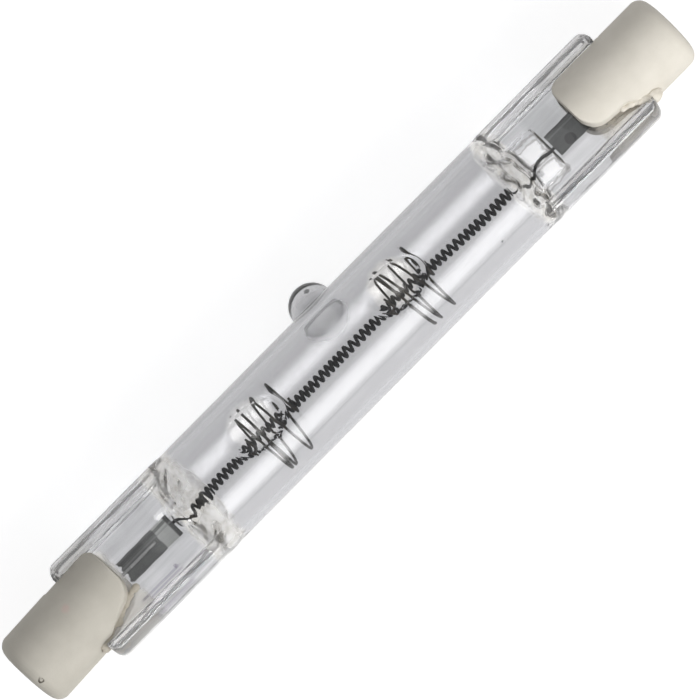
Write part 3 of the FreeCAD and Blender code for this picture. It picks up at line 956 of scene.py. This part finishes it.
def quartz_envelope(outer, inner):
    """Envelope with its outer surface in one finish and its gas spaces in the other."""
    outside = united(envelope_outside(), tip_drop())
    hollow = joined(envelope_cavity(), tip_hollow())
    face_outwards(hollow, inside_out=True)
    mesh = finished(joined(outside, hollow), sharp_degrees=35.0)
    piece = place_piece("quartz_envelope_clear", mesh, outer, "quartz_envelope")
    piece.data.materials.append(inner)
    for polygon in piece.data.polygons[len(outside.polygons):]:
        polygon.material_index = 1


# Wires, swept along their paths by one node tree


def wire_tree():
    """Node tree that sweeps a round, slightly uneven wire along a path of edges."""
    tree = bpy.data.node_groups.new("round wire along a path", "GeometryNodeTree")
    inputs = (
        ("Path", "Geometry"), ("Wire Radius", "Float"), ("Sides", "Int"),
        ("Unevenness", "Float"), ("Uneven Length", "Float"), ("Finish", "Material"),
    )
    for name, kind in inputs:
        tree.interface.new_socket(name, in_out="INPUT", socket_type="NodeSocket" + kind)
    tree.interface.new_socket("Wire", in_out="OUTPUT", socket_type="NodeSocketGeometry")
    add = tree.nodes.new
    given, made = add("NodeGroupInput"), add("NodeGroupOutput")
    to_curve = add("GeometryNodeMeshToCurve")
    position = add("GeometryNodeInputPosition")
    shrink = add("ShaderNodeVectorMath")
    shrink.operation = "SCALE"
    per_length = add("ShaderNodeMath")
    per_length.operation = "DIVIDE"
    per_length.inputs[0].default_value = 1.0
    noise = add("ShaderNodeTexNoise")
    noise.inputs["Scale"].default_value = 1.0
    noise.inputs["Detail"].default_value = 1.0
    centred = add("ShaderNodeVectorMath")
    centred.operation = "SUBTRACT"
    centred.inputs[1].default_value = (0.5, 0.5, 0.5)
    sized = add("ShaderNodeVectorMath")
    sized.operation = "SCALE"
    move = add("GeometryNodeSetPosition")
    section = add("GeometryNodeCurvePrimitiveCircle")
    sweep = add("GeometryNodeCurveToMesh")
    sweep.inputs["Fill Caps"].default_value = True
    realize = add("GeometryNodeRealizeInstances")
    finish = add("GeometryNodeSetMaterial")

    links = (
        (given, "Path", to_curve, "Mesh"),
        (given, "Uneven Length", per_length, 1),
        (position, "Position", shrink, 0),
        (per_length, "Value", shrink, "Scale"),
        (shrink, "Vector", noise, "Vector"),
        (noise, "Color", centred, 0),
        (centred, "Vector", sized, 0),
        (given, "Unevenness", sized, "Scale"),
        (to_curve, "Curve", move, "Geometry"),
        (sized, "Vector", move, "Offset"),
        (given, "Sides", section, "Resolution"),
        (given, "Wire Radius", section, "Radius"),
        (move, "Geometry", sweep, "Curve"),
        (section, "Curve", sweep, "Profile Curve"),
        (sweep, "Mesh", realize, "Geometry"),
        (realize, "Geometry", finish, "Geometry"),
        (given, "Finish", finish, "Material"),
        (finish, "Geometry", made, "Wire"),
    )
    for source, output, target, socket in links:
        tree.links.new(source.outputs[output], target.inputs[socket])
    return tree


def wire_mesh(tree, path, wire, material):
    """Plain mesh of a wire that follows a path of points in millimetres."""
    edges = [(i, i + 1) for i in range(len(path) - 1)]
    rail = bpy.data.meshes.new("rail")
    rail.from_pydata([tuple(p) for p in path], edges, [])
    values = {
        "Wire Radius": wire.radius, "Sides": wire.sides, "Unevenness": wire.unevenness,
        "Uneven Length": wire.uneven_length, "Finish": material,
    }

    def add_sweep(helper):
        sweep = helper.modifiers.new("wire", "NODES")
        sweep.node_group = tree
        for socket in tree.interface.items_tree:
            if socket.name in values:
                sweep[socket.identifier] = values[socket.name]

    return face_outwards(evaluated(rail, add_sweep))


def curved(points, per_span=8):
    """Smooth path through a few points."""
    ends = [2 * points[0] - points[1]] + points + [2 * points[-1] - points[-2]]
    path = []
    for i in range(1, len(ends) - 2):
        a, b, c, d = ends[i - 1:i + 3]
        for k in range(per_span):
            t = k / per_span
            path.append(0.5 * (2 * b + (c - a) * t + (2 * a - 5 * b + 4 * c - d) * t * t
                               + (3 * b - a - 3 * c + d) * t ** 3))
    return path + [points[-1]]


def coil_sag(x):
    """How far the coil has sagged from the lamp's axis: near its left end, and towards its right end."""
    left = left_sag * math.exp(-((x + coil_left_end - 0.3) / left_sag_length) ** 2)
    return left + right_sag * ease(x, *right_sag_reach)


def leg_points(end):
    """Filament leg from the coil's end to its weld under the foil."""
    coil_x = end.side * end.coil_end
    foil_x = end.side * end.foil_inner
    gap = foil_x - coil_x
    weld_z = -foil_half - filament_wire_radius
    return [
        Vector((coil_x, -coil_mean_radius - coil_sag(coil_x), 0.0)),
        Vector((coil_x + gap * leg_dip_share, end.dip_y, 0.0)),
        Vector((coil_x + gap * leg_arch_share, end.arch_y, weld_z * leg_arch_depth_share)),
        Vector((foil_x - end.side * 2 * pocket_to_foil, end.weld_y, weld_z)),
        Vector((foil_x + end.side * leg_weld, end.weld_y, weld_z)),
    ]


def filament_path():
    """Left leg, coil with slightly uneven turns, right leg."""
    length = coil_left_end + coil_right_end
    slow, quick = coil_drifts
    coil = []
    for i in range(1, coil_turns * coil_steps):
        share = i / (coil_turns * coil_steps)
        angle = 2 * math.pi * i / coil_steps
        drift = slow * math.sin(23.0 * share) + quick * math.sin(61.0 * share + 1.0)
        x = -coil_left_end + length * share + drift * math.sin(math.pi * share)
        y = -coil_mean_radius * math.cos(angle) - coil_sag(x)
        coil.append(Vector((x, y, coil_mean_radius * math.sin(angle))))
    return curved(leg_points(LEFT))[::-1] + coil + curved(leg_points(RIGHT))


def spiral(turns, first_radius, last_radius, places):
    """Points round the lamp's axis from one turn to another, spread evenly over places along x."""
    first, last = turns
    steps = round((last - first) * support_steps)
    points = []
    for share in np.linspace(0.0, 1.0, steps + 1):
        radius = first_radius + (last_radius - first_radius) * share * share * (3 - 2 * share)
        spread = (radius - grip_radius) / (loop_radius - grip_radius)
        angle = 2 * math.pi * (first + (last - first) * share)
        x = np.interp(share * (len(places) - 1), range(len(places)), places)
        points.append(Vector((x, radius * math.cos(angle) + loop_shift * spread, radius * math.sin(angle))))
    return points


def support_path(support):
    """Tight turns on the filament, wide uneven loops against the tube, tight turns again."""
    marks = list(support.first_crest + loop_pitch * np.concatenate([[0.0], np.cumsum(support.shares)]))
    loop_end = len(support.shares) / 2
    grip_length = grip_turns * grip_pitch
    grip_start = -rise_turns - grip_turns
    grip_end = loop_end + rise_turns + grip_turns
    start = marks[0] - rise_advance
    stop = marks[-1] + rise_advance
    path = spiral((grip_start, -rise_turns), grip_radius, grip_radius, (start - grip_length, start))
    path += spiral((-rise_turns, 0), grip_radius, loop_radius, (start, marks[0]))[1:]
    path += spiral((0, loop_end), loop_radius, loop_radius, marks)[1:]
    path += spiral((loop_end, loop_end + rise_turns), loop_radius, grip_radius, (marks[-1], stop))[1:]
    last_turns = (loop_end + rise_turns, grip_end)
    path += spiral(last_turns, grip_radius, grip_radius, (stop, stop + grip_length))[1:]
    return path


def lead_path(end):
    """Straight line from the lead's inner end on the foil to the back of the contact."""
    inner = end.foil_inner + end.foil_length - end.lead_overlap
    return [Vector((end.side * at, 0.0, lead_height)) for at in np.linspace(inner, contact_back, lead_steps)]


def place_wire(tree, node, path, wire, material):
    mesh = finished(wire_mesh(tree, path, wire, material))
    place_piece(node + "_wire", mesh, material, node)


def place_foil(end, material):
    """Thin foil with slightly wavy edges and a ragged outer end."""
    rows, columns = foil_rows, foil_columns
    points = []
    faces = []
    for level in (-foil_half, foil_half):
        for i in range(rows + 1):
            share = i / rows
            for k in range(columns + 1):
                across = 2 * k / columns - 1
                tooth = 0.5 * math.sin(7.3 * across + 0.6) + 0.3 * math.sin(17.1 * across + 2.0) - 0.8
                ragged = foil_ragged * ease(share, 0.85, 1.0) * tooth
                x = end.side * (end.foil_inner + end.foil_length * share + ragged)
                edge = 1.0 + foil_edge_wave * math.sin(3.1 * share * end.foil_length)
                points.append((x, end.foil_y + across * edge * foil_width / 2, level))
    layer = (rows + 1) * (columns + 1)

    def at(level, i, k):
        return level * layer + i * (columns + 1) + k

    for level in (0, 1):
        for i in range(rows):
            for k in range(columns):
                corners = ((i, k), (i, k + 1), (i + 1, k + 1), (i + 1, k))
                faces.append(tuple(at(level, *corner) for corner in corners))
    rim = [(i, 0) for i in range(rows)] + [(rows, k) for k in range(columns)]
    rim += [(i, columns) for i in range(rows, 0, -1)] + [(0, k) for k in range(columns, 0, -1)]
    for a, b in zip(rim, rim[1:] + rim[:1]):
        faces.append((at(0, *a), at(0, *b), at(1, *b), at(1, *a)))
    mesh = finished(face_outwards(mesh_of("foil", points, faces)))
    node = "foil_" + end.name
    place_piece(node + "_sheet", mesh, material, node)


# Caps, cement and contacts


def node_copy(node):
    """Copy of a CAD node's mesh, in millimetres."""
    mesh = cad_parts[node].data.copy()
    mesh.transform(Matrix.Scale(1.0 / MM, 4))
    return face_outwards(mesh)


def grained(mesh, grain, smoothing):
    """Even, softly rounded form of a closed mesh."""

    def add_grain(helper):
        remesh = helper.modifiers.new("grain", "REMESH")
        remesh.mode = "VOXEL"
        remesh.voxel_size = grain
        smooth = helper.modifiers.new("soft edges", "SMOOTH")
        smooth.factor = 0.5
        smooth.iterations = smoothing

    return evaluated(mesh, add_grain)


def set_askew(mesh, end):
    """Turns a cap's piece by the small angle at which that cap was cemented on."""
    pivot = Vector((end.side * cap_pivot, 0.0, 0.0))
    turn = Matrix.Rotation(math.radians(end.cap_turn), 4, "Z")
    mesh.transform(Matrix.Translation(pivot) @ turn @ Matrix.Translation(-pivot))
    return mesh


def round_end(mesh, end):
    """Rounds off a cap's outer end, which was pressed a little shorter at its rim than in its middle."""
    for vertex in mesh.vertices:
        place = vertex.co
        from_axis = math.hypot(place.y, place.z) / cap_radius
        share = ease(abs(place.x), cap_round_start, cap_end)
        place.x -= end.side * share * (cap_end_short + cap_end_round * from_axis ** 4)
    return mesh


def place_cap(end, material):
    node = "ceramic_cap_" + end.name
    mesh = round_end(grained(node_copy(node), ceramic_grain, ceramic_smoothing), end)
    mesh = finished(set_askew(mesh, end), sharp_degrees=180.0)
    place_piece(node + "_body", mesh, material, node)


def crumb(centre, radius, flatness):
    """Round crumb, pressed to a share of its height."""
    profile = []
    for k in range(9):
        turn = math.pi * k / 8
        profile.append((max(radius * math.sin(turn), 0.01), -radius * flatness * math.cos(turn)))
    return lathe("crumb", profile, Vector(centre), Vector((0.0, 0.0, 1.0)), 12)


def place_cement(end, material):
    """Cement in the slot, with crumbs of it along the tongue's edge."""
    node = "cement_" + end.name
    mesh = node_copy(node)
    for k in range(end.crumbs):
        share = k / end.crumbs
        wobble = math.sin(5.1 * k + 1.0)
        bend = 0.2 * share + 0.8 * share ** 2
        x = end.crumb_start + end.crumb_reach * share + crumb_shift_x * wobble
        y = end.crumb_edge + end.crumb_drop * bend + crumb_shift_y * math.sin(8.7 * k)
        radius = end.crumb_radius + crumb_swing * wobble + crumb_growth * share
        height = end.crumb_height - crumb_sinking * share * end.crumb_flatness
        mesh = joined(mesh, crumb((end.side * x, -y, height), radius, end.crumb_flatness))
    mesh = finished(grained(mesh, cement_grain, cement_smoothing), sharp_degrees=180.0)
    place_piece(node + "_fill", mesh, material, node)


def place_contact(end, material):
    """Domed nickel button with a rounded rim and a small weld mark in its middle."""
    dome = contact_face - contact_rim
    profile = [
        (contact_radius - contact_back_round, contact_back),
        (contact_radius, contact_back + contact_back_round),
        (contact_radius, contact_rim - contact_rim_round),
    ]
    for k in range(12):
        radius = contact_radius * (1 - (k + 0.6) / 12.6)
        height = contact_rim + dome * (1 - (radius / contact_radius) ** 2)
        weld_mark = weld_mark_depth * math.exp(-(radius / weld_mark_radius) ** 2)
        profile.append((radius, height - weld_mark))
    button = lathe("contact", profile, Vector((0, 0, 0)), Vector((end.side, 0, 0)))
    mesh = finished(set_askew(button, end))
    node = "contact_" + end.name
    place_piece(node + "_button", mesh, material, node)


# Table, light and camera


def seen_directly(tree):
    """Factor that is 1 for camera, glossy and transmission rays."""
    path = tree.nodes.new("ShaderNodeLightPath")
    total = path.outputs["Is Camera Ray"]
    for name in ("Is Glossy Ray", "Is Transmission Ray"):
        total = combined(tree, "MAXIMUM", total, path.outputs[name])
    return total


def white_table():
    """White table top that shows a soft shadow."""
    plain_white = {"Base Color": (0.62, 0.62, 0.62, 1.0), "Roughness": 1.0, "Specular IOR Level": 0.0}
    material, tree, shader = new_material("white table", plain_white)
    glow = tree.nodes.new("ShaderNodeEmission")
    scale = tree.nodes.new("ShaderNodeMath")
    scale.operation = "MULTIPLY"
    scale.inputs[1].default_value = table_glow
    both = tree.nodes.new("ShaderNodeAddShader")
    tree.links.new(seen_directly(tree), scale.inputs[0])
    tree.links.new(scale.outputs["Value"], glow.inputs["Strength"])
    tree.links.new(shader.outputs["BSDF"], both.inputs[0])
    tree.links.new(glow.outputs["Emission"], both.inputs[1])
    tree.links.new(both.outputs["Shader"], tree.nodes["Material Output"].inputs["Surface"])
    signs = [(-1, -1), (1, -1), (1, 1), (-1, 1)]
    corners = [(u * table_reach, v * table_reach, table_height) for u, v in signs]
    mesh = mesh_of("table", corners, [(0, 1, 2, 3)])
    mesh.transform(Matrix.Scale(MM, 4))
    mesh.materials.append(material)
    table = linked("table", mesh)


def soft_box(name, at_x, lean_degrees, distance, length, breadth, brightness):
    """Soft light that leans from the vertical to -Y, with long edges that fade in steps."""
    lean = math.radians(lean_degrees)
    for step, share in enumerate(light_steps):
        light = bpy.data.lights.new(name, "AREA")
        light.shape = "RECTANGLE"
        light.size = length * MM
        light.size_y = breadth * share * MM
        light.energy = math.pi * light.size * light.size_y * brightness / len(light_steps)
        reach = (distance + step) * MM
        lamp = linked(name, light)
        lamp.location = (at_x * MM, -math.sin(lean) * reach, math.cos(lean) * reach)
        lamp.rotation_euler = (lean, 0.0, 0.0)


def room_light():
    """Pale grey room, lighter where it is seen through the quartz."""
    world = bpy.data.worlds.new("pale room")
    world.use_nodes = True
    tree = world.node_tree
    background = tree.nodes["Background"]
    background.inputs["Color"].default_value = (0.98, 0.98, 1.0, 1.0)
    path = tree.nodes.new("ShaderNodeLightPath")
    level = tree.nodes.new("ShaderNodeMapRange")
    level.inputs["To Min"].default_value = room_brightness
    level.inputs["To Max"].default_value = room_brightness_in_quartz
    tree.links.new(path.outputs["Is Transmission Ray"], level.inputs["Value"])
    tree.links.new(level.outputs["Result"], background.inputs["Strength"])
    bpy.context.scene.world = world


def camera():
    """Camera at the photograph's angle, with the lamp running up to the right."""
    tilt = math.radians(camera_tilt_degrees)
    turn = math.radians(image_turn_degrees)
    along = Vector((1.0, 0.0, 0.0))
    back = Vector((0.0, -math.sin(tilt), math.cos(tilt)))
    across = back.cross(along)
    right = along * math.cos(turn) - across * math.sin(turn)
    up = along * math.sin(turn) + across * math.cos(turn)
    place = right * aim_right + up * aim_up + back * camera_distance
    data = bpy.data.cameras.new("camera")
    data.sensor_width = sensor_width
    data.lens = sensor_width * camera_distance / view_width
    data.clip_start = 0.01
    eye = linked("camera", data)
    turned = Matrix((right, up, back)).transposed().to_4x4()
    eye.matrix_world = Matrix.Translation(place * MM) @ turned
    bpy.context.scene.camera = eye


quartz_envelope(smoky_quartz(), bore_quartz())

wires = wire_tree()
tungsten = wire_material("dark tungsten", (0.004, 0.004, 0.004), (0.012, 0.011, 0.010), 0.7, 0.0)
support_tungsten = wire_material("support tungsten", (0.016, 0.014, 0.010), (0.055, 0.047, 0.034), 0.45, 0.2)
lead_metal = wire_material("molybdenum wire", (0.22, 0.22, 0.21), (0.40, 0.40, 0.39), 0.22, 1.0)
place_wire(wires, "filament", filament_path(), FILAMENT_WIRE, tungsten)
for wire_support in SUPPORTS:
    wire_path = support_path(wire_support)
    place_wire(wires, wire_support.name, wire_path, SUPPORT_WIRE, support_tungsten)

foil_metal = foil_material()
# The left cap gets darker colours than the right one: painted shade for the end that gets less light
ceramics = {
    "left": ceramic_material("steatite ceramic, painted shade", (0.535, 0.507, 0.44), (0.59, 0.56, 0.49)),
    "right": ceramic_material("steatite ceramic", (0.73, 0.69, 0.603), (0.795, 0.753, 0.667)),
}
# The left cement gets darker colours than the right one: painted shade for the end that gets less light
cements = {
    "left": cement_material("ceramic cement, painted shade", (0.46, 0.42, 0.345), (0.58, 0.54, 0.46)),
    "right": cement_material("ceramic cement", (0.70, 0.645, 0.545), (0.88, 0.835, 0.74)),
}
nickel = contact_material()
for lamp_end in ENDS:
    lead_name = "outer_lead_" + lamp_end.name
    place_wire(wires, lead_name, lead_path(lamp_end), LEAD_WIRE, lead_metal)
    place_foil(lamp_end, foil_metal)
    place_cap(lamp_end, ceramics[lamp_end.name])
    place_cement(lamp_end, cements[lamp_end.name])
    place_contact(lamp_end, nickel)

white_table()
room_light()
soft_box(
    "key light", at_x=40.0, lean_degrees=62.0, distance=300.0, length=150.0, breadth=247.0, brightness=7.9,
)
soft_box(
    "top light", at_x=20.0, lean_degrees=-20.5, distance=500.0, length=220.0, breadth=260.0, brightness=2.0,
)
camera()

bpy.context.scene.view_settings.view_transform = "Standard"
